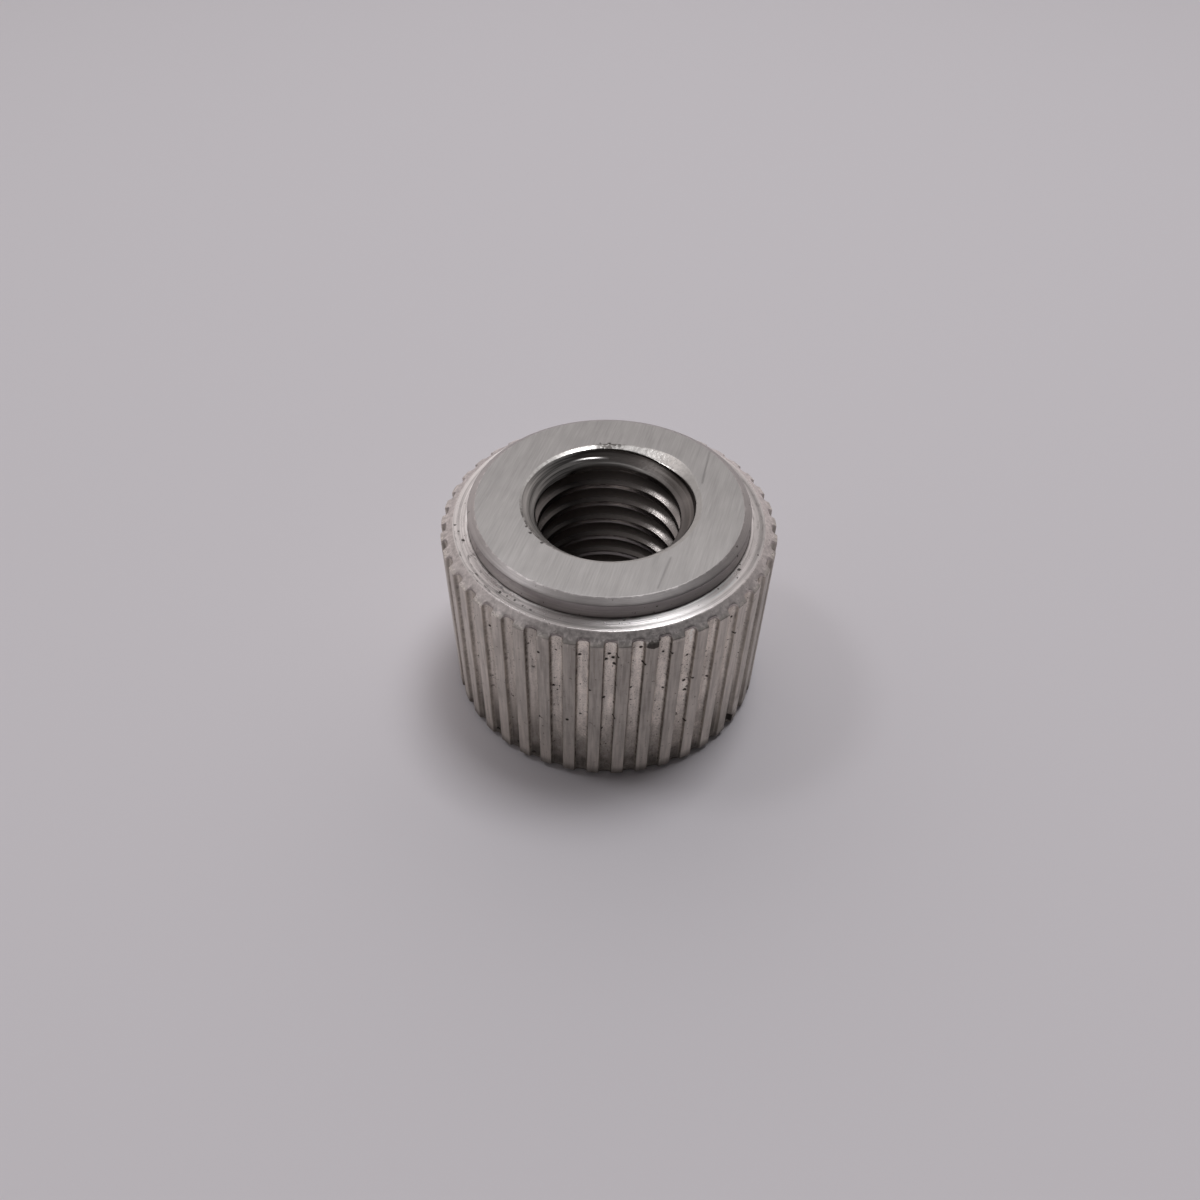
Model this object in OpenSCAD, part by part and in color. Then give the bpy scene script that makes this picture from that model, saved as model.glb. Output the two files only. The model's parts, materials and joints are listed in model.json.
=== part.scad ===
// Knurled round nut, turned from one piece of bar: a grip with straight flutes, a low round boss on top
// and a tapped hole right through. The origin is the centre of the bottom face, and +Z runs up the hole
// to the boss. Lengths are in millimetres and angles in degrees.

/* [Grip] */
// Diameter over the lands between the flutes
grip_d = 24; // [22.5:0.5:30]
// Height of the whole nut, from the bottom face to the top of the boss
nut_h = 16.5; // [10:0.5:30]
// Width of the turned cone at the top of the grip, along the radius
cone_w = 0.9; // [0.5:0.05:1.2]
// Height of that cone
cone_h = 0.6; // [0.3:0.05:1.2]
// Width of the chamfer round the bottom face, along the radius
foot_chamfer_w = 0.6; // [0.45:0.05:1.5]
// Height of that chamfer
foot_chamfer_h = 0.45; // [0.2:0.05:1]

/* [Boss] */
// Diameter of the boss
boss_d = 20; // [16:0.5:21]
// Height of the boss above the flat shoulder round it
boss_h = 1.4; // [0.8:0.1:4]
// Width of the boss's top chamfer, along the radius
boss_chamfer_w = 0.55; // [0.2:0.05:1]
// Height of that chamfer
boss_chamfer_h = 0.3; // [0.1:0.05:0.6]

/* [Flutes] */
// Number of flutes round the grip
flute_count = 42; // [24:1:48]
// Width of a flute
flute_w = 0.93; // [0.5:0.01:1.1]
// Depth of a flute below the lands
flute_depth = 0.42; // [0.25:0.01:0.6]
// Radius in the two corners of a flute's floor
flute_corner_r = 0.16; // [0.05:0.01:0.22]

/* [Hole] */
// Core diameter of the tapped hole, as drilled for the thread
core_d = 10.2; // [8:0.1:11]
// Diameter of the countersunk mouth at each end of the hole
mouth_d = 12.4; // [11.2:0.1:14]
// Angle of the countersink, measured right across
mouth_angle = 90; // [60:5:120]

/* [Hidden] */
$fn = 96;

grip_r = grip_d / 2;
boss_r = boss_d / 2;
shoulder_z = nut_h - boss_h;
mouth_depth = (mouth_d - core_d) / 2 / tan(mouth_angle / 2);
flute_step = 360 / flute_count;
// Angle of the first flute: its middle faces the front, which is -Y
first_flute = -90;
// How far a cutting shape runs past the surface that it cuts
cut_past = 1;

// Half section of the turned blank, before the flutes and the hole
module blank_section() {
    polygon([
        [0, 0],
        [grip_r - foot_chamfer_w, 0],
        [grip_r, foot_chamfer_h],
        [grip_r, shoulder_z - cone_h],
        [grip_r - cone_w, shoulder_z],
        [boss_r, shoulder_z],
        [boss_r, nut_h - boss_chamfer_h],
        [boss_r - boss_chamfer_w, nut_h],
        [0, nut_h]
    ]);
}

// Cross section of one flute on the +X side: steep walls, a flat floor and round corners between them
module flute_section() {
    floor_x = grip_r - flute_depth;
    corner_y = flute_w / 2 - flute_corner_r;
    translate([floor_x, -corner_y])
        square([flute_depth + cut_past, 2 * corner_y]);
    translate([floor_x + flute_corner_r, -flute_w / 2])
        square([flute_depth - flute_corner_r + cut_past, flute_w]);
    for (side = [-1, 1])
        translate([floor_x + flute_corner_r, side * corner_y])
            circle(flute_corner_r);
}

// Grooves of the straight knurl, which run out through the cone above and the chamfer below
module flutes() {
    translate([0, 0, -cut_past])
        linear_extrude(shoulder_z + 2 * cut_past)
            for (i = [0 : flute_count - 1])
                rotate(first_flute + i * flute_step)
                    flute_section();
}

// Half section of the drilled hole with a countersink at each end
module hole_section() {
    past_r = mouth_d / 2 + cut_past * tan(mouth_angle / 2);
    polygon([
        [0, -cut_past],
        [past_r, -cut_past],
        [core_d / 2, mouth_depth],
        [core_d / 2, nut_h - mouth_depth],
        [past_r, nut_h + cut_past],
        [0, nut_h + cut_past]
    ]);
}

module nut() {
    color("#b9b6b4")
        difference() {
            rotate_extrude() blank_section();
            flutes();
            rotate_extrude() hole_section();
        }
}

nut();
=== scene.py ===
"""Looks of a knurled round nut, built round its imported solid.

The nut was turned from one piece of bar, so one closed skin stands for it. Geometry Nodes wrap that skin
from two flat grids: one becomes the outside, a sector of one flute repeated round the axis, and the other
becomes the tapped hole. The finishes follow how each surface was made: the knurled grip, the turned boss,
the faced shoulder, the sanded top, the scraped rim of the hole and the tapped thread.
"""

from __future__ import annotations

import json
import logging
import math
from dataclasses import dataclass, field
from enum import Enum
from functools import reduce
from typing import Any, Protocol, Sequence

import bpy
from mathutils import Matrix, Vector

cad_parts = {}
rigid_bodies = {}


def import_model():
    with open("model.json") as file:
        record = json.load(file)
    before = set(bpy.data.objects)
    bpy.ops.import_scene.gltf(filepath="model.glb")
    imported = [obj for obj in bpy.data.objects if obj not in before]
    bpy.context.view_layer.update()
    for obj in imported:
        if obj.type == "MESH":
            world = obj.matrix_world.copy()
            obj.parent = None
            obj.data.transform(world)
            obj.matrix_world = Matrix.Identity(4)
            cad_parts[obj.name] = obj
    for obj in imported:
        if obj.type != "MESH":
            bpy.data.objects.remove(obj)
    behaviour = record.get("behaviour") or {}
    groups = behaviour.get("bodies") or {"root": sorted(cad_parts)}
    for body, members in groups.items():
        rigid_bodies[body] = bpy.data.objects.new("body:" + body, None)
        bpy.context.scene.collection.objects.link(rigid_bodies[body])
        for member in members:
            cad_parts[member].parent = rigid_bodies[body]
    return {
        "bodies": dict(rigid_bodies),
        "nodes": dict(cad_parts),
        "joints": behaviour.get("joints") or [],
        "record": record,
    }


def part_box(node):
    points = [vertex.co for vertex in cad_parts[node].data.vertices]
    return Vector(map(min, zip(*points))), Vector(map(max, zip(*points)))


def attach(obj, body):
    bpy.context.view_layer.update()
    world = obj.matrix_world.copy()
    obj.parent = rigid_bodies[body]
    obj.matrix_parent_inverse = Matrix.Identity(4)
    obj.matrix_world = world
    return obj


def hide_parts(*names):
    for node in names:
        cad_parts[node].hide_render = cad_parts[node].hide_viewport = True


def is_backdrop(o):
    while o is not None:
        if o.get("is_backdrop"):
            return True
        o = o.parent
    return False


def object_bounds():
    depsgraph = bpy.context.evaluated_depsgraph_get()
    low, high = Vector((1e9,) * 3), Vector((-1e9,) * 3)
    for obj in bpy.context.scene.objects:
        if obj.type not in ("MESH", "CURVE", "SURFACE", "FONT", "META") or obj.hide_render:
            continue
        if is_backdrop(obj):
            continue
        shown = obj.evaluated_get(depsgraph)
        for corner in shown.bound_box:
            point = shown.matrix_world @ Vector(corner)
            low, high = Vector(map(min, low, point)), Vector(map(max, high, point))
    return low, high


LOG = logging.getLogger("nut")
MM = 0.001
FULL_TURN = 2 * math.pi
Socket = bpy.types.NodeSocket
Triple = tuple[float, float, float]


class Zone(Enum):
    """Surfaces of the nut that were made or worn in different ways."""

    KNURL = 0
    TURNED = 1
    SHOULDER = 2
    SANDED = 3
    RIM = 4
    THREAD = 5

    @property
    def finish(self) -> str:
        """Name of the skin's input for this surface's finish."""
        return f"{self.name.title()} Finish"


@dataclass(frozen=True)
class Number:
    """A number inside a node tree. Arithmetic on it adds Math nodes, so that a formula reads as one."""

    work: NodeWork
    socket: Socket

    def __add__(self, other: Any) -> Number:
        """This number plus another."""
        return self.work.math("ADD", self, other)

    def __radd__(self, other: float) -> Number:
        """A plain number plus this one."""
        return self.work.math("ADD", other, self)

    def __sub__(self, other: Any) -> Number:
        """This number less another."""
        return self.work.math("SUBTRACT", self, other)

    def __rsub__(self, other: float) -> Number:
        """A plain number less this one."""
        return self.work.math("SUBTRACT", other, self)

    def __mul__(self, other: Any) -> Number:
        """This number times another."""
        return self.work.math("MULTIPLY", self, other)

    def __rmul__(self, other: float) -> Number:
        """A plain number times this one."""
        return self.work.math("MULTIPLY", other, self)

    def __truediv__(self, other: Any) -> Number:
        """This number divided by another."""
        return self.work.math("DIVIDE", self, other)

    def __rtruediv__(self, other: float) -> Number:
        """A plain number divided by this one."""
        return self.work.math("DIVIDE", other, self)

    def __floordiv__(self, other: Any) -> Number:
        """Whole part of this number divided by another."""
        return self.work.math("FLOOR", self / other)

    def __neg__(self) -> Number:
        """This number with its sign turned."""
        return self * -1.0

    def __abs__(self) -> Number:
        """This number without its sign."""
        return self.work.math("ABSOLUTE", self)

    def __round__(self) -> Number:
        """Nearest whole number."""
        return self.work.math("ROUND", self)

    def above(self, limit: Any) -> Number:
        """One where this number is greater than a limit, and zero elsewhere."""
        return self.work.math("GREATER_THAN", self, limit)

    def near(self, middle: float, half_width: float) -> Number:
        """One where this number is at the middle, falling to zero at half a width on either side."""
        return abs(self - middle).fade(half_width, 0.0)

    def fade(self, start: Any, end: Any, low: Any = 0.0, high: Any = 1.0) -> Number:
        """Smooth step: low where this number is at start or beyond, and high where it is at end or beyond."""
        inputs = {"Value": self, "From Min": start, "From Max": end, "To Min": low, "To Max": high}
        return self.work.number("ShaderNodeMapRange", 0, inputs, interpolation_type="SMOOTHSTEP")


class NodeWork:
    """Wires one node tree. Its nodes take plain values, sockets and numbers of the same tree."""

    def __init__(self, tree: bpy.types.NodeTree) -> None:
        """Starts on a geometry or shader tree."""
        self.tree = tree

    def add(self, kind: str, **options: Any) -> bpy.types.Node:
        """Adds a node.

        Args:
            kind: the node's type name.
            options: properties to set on it.

        Returns:
            The new node.
        """
        node = self.tree.nodes.new(kind)
        for name, value in options.items():
            setattr(node, name, value)
        return node

    def feed(self, socket: Socket, value: Any) -> None:
        """Gives an input its value, by a link if the value comes from another node.

        Args:
            socket: the input.
            value: a plain value, a socket or a number.
        """
        if isinstance(value, Number):
            value = value.socket
        if isinstance(value, Socket):
            self.tree.links.new(value, socket)
        else:
            socket.default_value = value

    def call(self, kind: str, output: int | str, inputs: dict[int | str, Any], **options: Any) -> Socket:
        """Adds a node with its inputs fed.

        Args:
            kind: the node's type name.
            output: which output to return.
            inputs: values by input name or number.
            options: properties to set on the node.

        Returns:
            The chosen output.
        """
        node = self.add(kind, **options)
        for key, value in inputs.items():
            self.feed(node.inputs[key], value)
        return node.outputs[output]

    def number(self, kind: str, output: int | str, inputs: dict[int | str, Any], **options: Any) -> Number:
        """Adds a node with its inputs fed, and gives the chosen output as a number."""
        return Number(self, self.call(kind, output, inputs, **options))

    def math(self, operation: str, *values: Any) -> Number:
        """One Math node on the given values."""
        return self.number("ShaderNodeMath", 0, dict(enumerate(values)), operation=operation)

    def most(self, *values: Any) -> Number:
        """Largest of two or more values."""
        return reduce(lambda a, b: self.math("MAXIMUM", a, b), values)

    def least(self, *values: Any) -> Number:
        """Smallest of two or more values."""
        return reduce(lambda a, b: self.math("MINIMUM", a, b), values)

    def vector(self, operation: str, *values: Any) -> Socket:
        """One Vector Math node that gives a vector."""
        return self.call("ShaderNodeVectorMath", 0, dict(enumerate(values)), operation=operation)

    def measure(self, operation: str, *values: Any) -> Number:
        """One Vector Math node that gives a number."""
        return self.number("ShaderNodeVectorMath", 1, dict(enumerate(values)), operation=operation)

    def scaled(self, vector: Any, factor: Any) -> Socket:
        """A vector or a colour times a number."""
        return self.call("ShaderNodeVectorMath", 0, {0: vector, "Scale": factor}, operation="SCALE")

    def join(self, x: Any, y: Any, z: Any) -> Socket:
        """A vector from three numbers."""
        return self.call("ShaderNodeCombineXYZ", 0, {0: x, 1: y, 2: z})

    def split(self, vector: Socket) -> list[Number]:
        """Three numbers of a vector."""
        node = self.call("ShaderNodeSeparateXYZ", 0, {0: vector}).node
        return [Number(self, output) for output in node.outputs]

    def noise(self, vector: Any, scale: float = 1.0, detail: float = 3.0, roughness: float = 0.6) -> Number:
        """Noise about 0.5 at a place."""
        inputs = {"Vector": vector, "Scale": scale, "Detail": detail, "Roughness": roughness}
        return self.number("ShaderNodeTexNoise", 0, inputs)

    def angle_of(self, x: Number, y: Number) -> Number:
        """Angle about the axis in radians, 0 at the front and growing to the right."""
        return self.math("ARCTAN2", x, -y)


def new_object(name: str, data: bpy.types.ID) -> bpy.types.Object:
    """Makes an object and links it to the scene.

    Args:
        name: the object's name.
        data: its mesh, lamp or camera.

    Returns:
        The new object.
    """
    made = bpy.data.objects.new(name, data)
    bpy.context.scene.collection.objects.link(made)
    return made


@dataclass(frozen=True)
class Corner:
    """A corner of an outline, and the stretch that follows it.

    Attributes:
        x: first coordinate.
        y: second coordinate.
        blend: distance from the corner at which its rounding starts.
        zone: surface that follows the corner.
        spacing: largest step between points on that stretch.
        steps: number of straight steps in the rounding.
    """

    x: float
    y: float
    blend: float = 0.0
    zone: Zone = Zone.TURNED
    spacing: float = math.inf
    steps: int = 2


@dataclass(frozen=True)
class OutlinePoint:
    """A point of a rounded outline, with the surface that follows it and how exposed it is to knocks."""

    x: float
    y: float
    zone: Zone
    exposed: float


def rounded_outline(corners: Sequence[Corner]) -> list[OutlinePoint]:
    """Rounds the corners of an outline and divides its stretches.

    Args:
        corners: the outline's corners in order.

    Returns:
        The points of the rounded outline in order.
    """
    points: list[OutlinePoint] = []
    for i, corner in enumerate(corners):
        here = Vector((corner.x, corner.y))
        if corner.blend > 0:
            before = Vector((corners[i - 1].x, corners[i - 1].y))
            after = Vector((corners[i + 1].x, corners[i + 1].y))
            start = here + (before - here).normalized() * corner.blend
            end = here + (after - here).normalized() * corner.blend
            for step in range(corner.steps + 1):
                t = step / corner.steps
                place = start * (1 - t) ** 2 + here * 2 * t * (1 - t) + end * t**2
                zone = corners[i - 1].zone if t < 0.5 else corner.zone
                points.append(OutlinePoint(place.x, place.y, zone, 4 * t * (1 - t)))
        else:
            end = here
            points.append(OutlinePoint(here.x, here.y, corner.zone, 0.0))
        if i + 1 < len(corners):
            following = corners[i + 1]
            goal = Vector((following.x, following.y))
            goal += (here - goal).normalized() * following.blend
            parts = max(1, math.ceil((goal - end).length / corner.spacing))
            for part in range(1, parts):
                place = end.lerp(goal, part / parts)
                points.append(OutlinePoint(place.x, place.y, corner.zone, 0.0))
    return points


def point_list(name: str, places: Sequence[Triple], zones: Sequence[int] = ()) -> bpy.types.Object:
    """Makes an object whose vertices carry numbers for a node tree to read by their order.

    Args:
        name: the object's name.
        places: one triple of numbers for each vertex.
        zones: one zone number for each vertex, if the tree reads them.

    Returns:
        The new object, linked to the scene.
    """
    mesh = bpy.data.meshes.new(name)
    mesh.from_pydata(list(places), [], [])
    if zones:
        layer = mesh.attributes.new("zone", "INT", "POINT")
        for item, value in zip(layer.data, zones):
            item.value = value
    return new_object(name, mesh)


def weight_normals(mesh: bpy.types.Mesh) -> None:
    """Turns each point's normal towards its larger faces, so that flats stay flat beside small edges.

    Args:
        mesh: the mesh to set normals on.
    """
    sums = [Vector() for _ in mesh.vertices]
    for face in mesh.polygons:
        push = face.normal * (face.area / MM**2)
        for index in face.vertices:
            sums[index] += push
    mesh.normals_split_custom_set_from_vertices([total.normalized() for total in sums])


@dataclass(frozen=True)
class Knurl:
    """Straight knurl of the grip. Lengths are in millimetres.

    Attributes:
        count: number of flutes.
        width: width of a flute at the lands.
        depth: depth of a flute below the lands.
        draft: how far each wall leans in from the land to the floor.
        corner: distance over which the floor's corners are rounded.
        land_edge: distance over which a land's edges are broken.
        lean: degrees that the flutes turn from bottom to top.
    """

    count: int = 42
    width: float = 0.93
    depth: float = 0.42
    draft: float = 0.06
    corner: float = 0.27
    land_edge: float = 0.06
    lean: float = 1.1

    def sector(self, grip_r: float) -> list[Triple]:
        """Columns of one sector, from the middle of a land to the middle of the next.

        Args:
            grip_r: radius over the lands.

        Returns:
            For each column its angle in radians, its depth in metres and zero.
        """
        half_pitch = math.pi * grip_r / self.count
        corners = [
            Corner(0.0, self.depth),
            Corner(self.width / 2 - self.draft, self.depth, self.corner, steps=3),
            Corner(self.width / 2, 0.0, self.land_edge),
            Corner(half_pitch, 0.0),
        ]
        right = [(p.x / (grip_r - p.y), p.y * MM, 0.0) for p in rounded_outline(corners)]
        left = [(-angle, depth, none) for angle, depth, none in reversed(right[1:])]
        return left + right


@dataclass(frozen=True)
class Thread:
    """Right-hand thread of the hole, in millimetres.

    Attributes:
        pitch: rise in one turn.
        root_r: radius at the bottom of the groove.
        flank_deg: angle of a flank from a plane across the axis.
        root_flat: width of the groove's bottom.
        crest_break: distance over which a crest's corners are broken.
        root_break: distance over which the groove's corners are rounded.
        back_crest: depth below the top face of a crest's lower corner at the back.
        spare: least share of a turn by which the first crest starts above the top face.
    """

    pitch: float = 1.75
    root_r: float = 6.03
    flank_deg: float = 30.0
    root_flat: float = 0.2
    crest_break: float = 0.07
    root_break: float = 0.08
    back_crest: float = 1.38
    spare: float = 0.1

    def turn(self, core_r: float) -> list[Triple]:
        """Points of one turn of the thread, downwards from a crest's lower corner.

        Args:
            core_r: radius of the crests.

        Returns:
            For each point the share of the pitch that it lies down, zero, and its radius in metres.
        """
        flank = (self.root_r - core_r) * math.tan(math.radians(self.flank_deg))
        groove = 2 * flank + self.root_flat
        corners = [
            Corner(core_r, -self.crest_break),
            Corner(core_r, 0.0, self.crest_break, steps=1),
            Corner(self.root_r, flank, self.root_break, steps=1),
            Corner(self.root_r, flank + self.root_flat, self.root_break, steps=1),
            Corner(core_r, groove, self.crest_break, steps=1),
            Corner(core_r, groove + 2 * self.crest_break),
        ]
        points = rounded_outline(corners)[1:-1]
        return [(p.y / self.pitch, 0.0, p.x * MM) for p in points]

    def top(self, height: float) -> float:
        """Height at the front of the first crest's lower corner, just above a top face."""
        at_front = height - self.back_crest - self.pitch / 2
        return at_front + math.ceil((height - at_front) / self.pitch + self.spare) * self.pitch

    def turns(self, height: float) -> int:
        """Number of turns that reach past both faces at every angle."""
        return math.ceil(height / self.pitch) + 2


@dataclass(frozen=True)
class Rim:
    """Scraped edge at the top of the hole: a shallow cone, cut off centre. Lengths are in millimetres.

    Attributes:
        radius: outer radius of the cone, about its own centre.
        offset: distance of that centre from the axis.
        scrape: how much wider the cone is where the tool dug in.
        focus: how narrow that stretch is, as a power of a cosine.
        toward_deg: direction of that centre and scrape, from the front and growing to the right.
        slope_deg: slope of the cone.
        least: smallest width of the broken edge.
        rows: number of rows across it.
    """

    radius: float = 6.42
    offset: float = 0.12
    scrape: float = 0.4
    focus: float = 12.0
    toward_deg: float = 134.0
    slope_deg: float = 15.0
    least: float = 0.06
    rows: int = 4


def around(radius: float, angle: float, height: float) -> Vector:
    """A place by its distance from the axis, its degrees from the front and its height."""
    turn = math.radians(angle)
    return Vector((radius * math.sin(turn), -radius * math.cos(turn), height))


@dataclass(frozen=True)
class Spot:
    """A pit or a blot of dirt, by its place on the nut. Lengths are in millimetres.

    Attributes:
        angle: degrees from the front, growing to the right.
        reach: height above the bottom face on the grip, or distance from the axis on a flat face.
        size: radius of the spot.
        depth: how far its middle lies below a flat face.
    """

    angle: float
    reach: float
    size: float
    depth: float = 0.0

    def on_grip(self, grip_r: float) -> tuple[Vector, float]:
        """Middle and size of a spot on the grip."""
        return around(grip_r, self.angle, self.reach), self.size

    def on_face(self, z: float) -> tuple[Vector, float]:
        """Middle and size of a spot on a flat face."""
        return around(self.reach, self.angle, z - self.depth), self.size


def spot_list(*rows: Sequence[float]) -> tuple[Spot, ...]:
    """Spots from rows of their angle, reach, size and, where they have one, depth."""
    return tuple(Spot(*row) for row in rows)


GRIP_PITS = spot_list(
    (53.0, 1.1, 0.24), (53.1, 0.8, 0.24), (52.0, 10.85, 0.1), (45.5, 12.05, 0.09), (44.5, 13.55, 0.1),
    (36.0, 8.7, 0.1), (33.0, 9.05, 0.09), (28.5, 9.9, 0.09), (27.7, 5.1, 0.11), (27.0, 8.35, 0.11),
    (26.5, 12.05, 0.11), (26.3, 9.4, 0.12), (24.5, 11.2, 0.1), (20.0, 13.25, 0.09), (18.5, 9.4, 0.11),
    (17.5, 13.15, 0.1), (15.7, 12.55, 0.11), (11.0, 12.65, 0.11), (10.0, 14.0, 0.11), (7.5, 10.0, 0.1),
    (2.5, 13.6, 0.1), (2.0, 7.15, 0.12), (1.7, 12.55, 0.12), (1.3, 13.15, 0.11), (0.0, 13.5, 0.11),
    (-1.0, 13.0, 0.12), (-1.5, 9.05, 0.11), (-1.9, 5.6, 0.11), (-6.0, 10.15, 0.1), (-9.5, 13.25, 0.11),
    (-13.5, 6.55, 0.12), (-18.5, 9.55, 0.1), (-22.5, 13.0, 0.11), (-23.5, 6.05, 0.12), (-27.5, 0.7, 0.15),
    (-34.5, 0.9, 0.16), (-43.5, 12.55, 0.11), (-44.5, 0.8, 0.17), (-49.0, 10.25, 0.11), (-52.5, 1.0, 0.16),
    (-58.5, 8.1, 0.11), (-60.5, 1.25, 0.15),
)
GRIP_STAINS = spot_list((12.4, 14.4, 0.2), (13.4, 14.35, 0.26), (14.6, 14.4, 0.26), (15.5, 14.45, 0.19))
SHOULDER_PITS = spot_list(
    (58.4, 10.25, 0.14), (45.0, 10.18, 0.08), (-28.8, 10.65, 0.07), (-32.0, 10.55, 0.06),
    (-36.1, 10.46, 0.09), (-39.5, 10.5, 0.07), (-42.9, 10.57, 0.1), (-53.2, 10.0, 0.1),
    (-63.8, 9.95, 0.1), (-73.2, 9.95, 0.12), (-74.8, 10.5, 0.11), (-80.0, 10.7, 0.07), (-83.6, 10.92, 0.09),
)
TOP_SPOTS = spot_list(
    (-45.7, 6.35, 0.12, 0.05), (-57.0, 6.4, 0.14, 0.05), (-63.5, 6.35, 0.1, 0.05),
    (172.8, 6.45, 0.12, 0.1), (-180.0, 6.55, 0.16, 0.1), (-174.0, 6.55, 0.14, 0.1),
)
# Each scratch runs from one spot to the next, and the spots' size is half its width.
TOP_SCRATCHES = (
    spot_list((127.9, 9.5, 0.14), (105.1, 6.86, 0.14)),
    spot_list((36.7, 6.88, 0.13), (18.9, 9.27, 0.13)),
)


class MetalShader(NodeWork):
    """Shader of one metal finish, with the places that its patterns follow.

    Attributes:
        material: the material itself.
        place: the place on the surface in millimetres, of which x, y and z are the parts.
        r: its distance from the axis.
        side: how far to the right it lies as seen from the front, from -1 to 1.
        angle: its degrees from the front, growing to the right.
    """

    # Inputs of a Mix node for a factor and two colours, and its output, whose names other blends share
    MIX_INPUTS = (0, 6, 7)
    MIX_RESULT = 2
    # Half the width of a spot's soft edge, and how often its outline wanders in a millimetre
    SPOT_EDGE = 0.04
    SPOT_WANDER = 3.1
    # Length over which a scratch starts and ends
    SCRATCH_END = 0.3

    def __init__(self, name: str) -> None:
        """Starts a material.

        Args:
            name: the material's name.
        """
        self.material = bpy.data.materials.new(name)
        self.material.use_nodes = True
        super().__init__(self.material.node_tree)
        self.tree.nodes.clear()
        self.place = self.scaled(self.add("ShaderNodeTexCoord").outputs["Object"], 1 / MM)
        self.x, self.y, self.z = self.split(self.place)
        self.r = self.measure("LENGTH", self.join(self.x, self.y, 0.0))
        self.side = self.x / self.r
        self.angle = self.math("DEGREES", self.angle_of(self.x, self.y))

    def attribute(self, name: str) -> Number:
        """A number that the skin carries at each point."""
        return self.number("ShaderNodeAttribute", "Fac", {}, attribute_name=name)

    @staticmethod
    def opaque(colour: Any) -> Any:
        """A colour with its alpha, where it is three plain numbers."""
        return colour if isinstance(colour, Socket) else (*colour, 1.0)

    def tint(self, colour: Any, other: Any, factor: Any) -> Socket:
        """Blend of two colours."""
        inputs = dict(zip(self.MIX_INPUTS, (factor, self.opaque(colour), self.opaque(other))))
        return self.call("ShaderNodeMix", self.MIX_RESULT, inputs, data_type="RGBA")

    def stretched(self, across: float, upward: float) -> Socket:
        """Place for a pattern that is drawn out along or across the axis."""
        return self.vector("MULTIPLY", self.place, (across, across, upward))

    def outward(self, lean: float = 0.0) -> Socket:
        """Direction away from the axis, or leaning from that by a share of it."""
        return self.vector("NORMALIZE", self.join(self.x - lean * self.y, self.y + lean * self.x, 0.0))

    def spots(
        self,
        spots: Sequence[tuple[Vector, float]],
        raggedness: float = 0.12,
        place: Socket | None = None,
    ) -> Number | float:
        """Mask of listed spots with ragged outlines.

        Args:
            spots: the middle and the size of each spot.
            raggedness: how far their outlines wander, in millimetres.
            place: where the spots are measured, if not at the surface itself.

        Returns:
            One inside a spot, and zero outside.
        """
        if not spots:
            return 0.0
        inputs = {"Vector": self.place, "Scale": self.SPOT_WANDER, "Detail": 2.0}
        wander = self.call("ShaderNodeTexNoise", "Color", inputs)
        wander = self.scaled(self.vector("SUBTRACT", wander, (0.5, 0.5, 0.5)), 2 * raggedness)
        here = self.vector("ADD", place or self.place, wander)
        gaps = [self.measure("DISTANCE", here, tuple(middle)) - size for middle, size in spots]
        return self.least(1.0, *gaps).fade(self.SPOT_EDGE, -self.SPOT_EDGE)

    def scratch(self, start: Vector, end: Vector, half_width: float) -> Number:
        """Mask of one straight scratch.

        Args:
            start: one end, in millimetres.
            end: the other end, in millimetres.
            half_width: half the scratch's width, in millimetres.

        Returns:
            One in the middle of the scratch, and zero outside it.
        """
        length = (end - start).length
        along = (end - start).normalized()
        across = (along.y, -along.x, 0.0)
        gap = self.vector("SUBTRACT", self.place, tuple(start))
        travelled = self.measure("DOT_PRODUCT", gap, tuple(along))
        aside = abs(self.measure("DOT_PRODUCT", gap, across))
        started = travelled.fade(0.0, self.SCRATCH_END)
        return started * travelled.fade(length, length - self.SCRATCH_END) * aside.fade(half_width, 0.0)

    def bumped(self, *layers: tuple[Number, float]) -> Socket:
        """Normal of a surface with fine relief.

        Args:
            layers: each a height from 0 to 1, and what that height is worth in millimetres.

        Returns:
            The bent normal.
        """
        heights = [value * (depth * MM) for value, depth in layers]
        inputs = {"Height": sum(heights[1:], heights[0]), "Distance": 1.0, "Strength": 1.0}
        return self.call("ShaderNodeBump", 0, inputs)

    def finish(
        self,
        colour: Socket,
        roughness: Number,
        normal: Socket,
        anisotropy: float = 0.0,
        across: Socket | None = None,
    ) -> bpy.types.Material:
        """Ends the shader in a metal surface.

        Args:
            colour: colour of the metal.
            roughness: roughness of the metal.
            normal: bent normal.
            anisotropy: how far reflections are drawn out.
            across: direction in which they are drawn out.

        Returns:
            The finished material.
        """
        inputs = {"Base Color": colour, "Roughness": roughness, "Normal": normal}
        inputs.update({"Metallic": 1.0, "Anisotropic": anisotropy})
        if across is not None:
            inputs["Tangent"] = across
        surface = self.call("ShaderNodeBsdfPrincipled", 0, inputs)
        self.feed(self.add("ShaderNodeOutputMaterial").inputs["Surface"], surface)
        return self.material


# Colour of dirt, also used for painted shade in corners and towards the bottom.
DIRT_AND_SHADE: Triple = (0.03, 0.024, 0.021)


class Finish(Protocol):
    """Looks of one kind of surface."""

    def material(self, nut: KnurledNut) -> bpy.types.Material:
        """Builds the finish for a nut."""


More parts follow.
